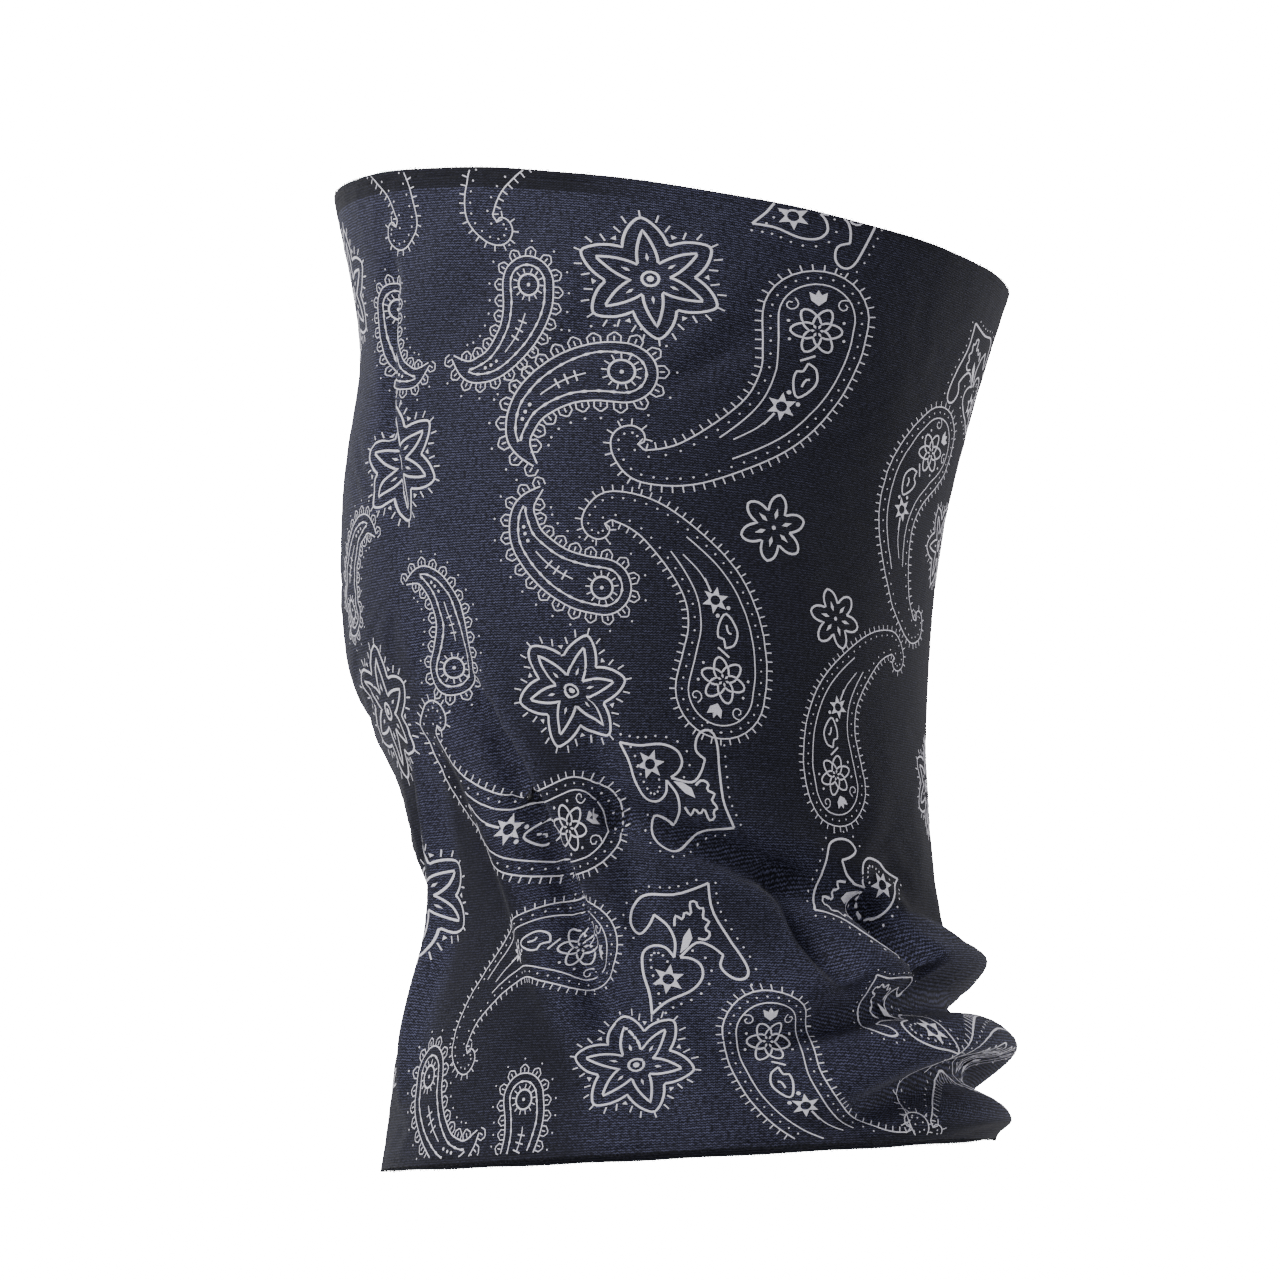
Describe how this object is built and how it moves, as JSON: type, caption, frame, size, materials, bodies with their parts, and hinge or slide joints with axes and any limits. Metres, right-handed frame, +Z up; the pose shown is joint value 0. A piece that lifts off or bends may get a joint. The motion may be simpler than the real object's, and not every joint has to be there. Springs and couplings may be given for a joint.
{
  "type": "neck gaiter",
  "caption": "Seamless stretch-knit neck gaiter worn over head and neck: printed tube, sealed cut edges, blank fibre label inside.",
  "frame": {"origin": "middle of the wearer's head, which holds the gaiter up, halfway between the ears and 116 mm below the middle of the upper rim", "axes": "+Z is up along the head, +X is the way the wearer faces, +Y is the wearer's left"},
  "size_m": [0.2226, 0.1646, 0.3151],
  "materials": {
    "knit": "fine single-jersey microfibre knit, dark navy, matte with a slight sheen, pale lilac paisley print",
    "cut_edge": "sealed cut edge of the same knit, darker and firmer",
    "print": "pale lilac ink printed into the knit",
    "label_satin": "blank woven satin label",
    "thread": "dark polyester sewing thread"
  },
  "bodies": {
    "root": {"knit_tube": "knit", "upper_cut_edge": "cut_edge", "lower_cut_edge": "cut_edge", "fibre_label": "label_satin", "label_stitching": "thread"}
  },
  "joints": []
}
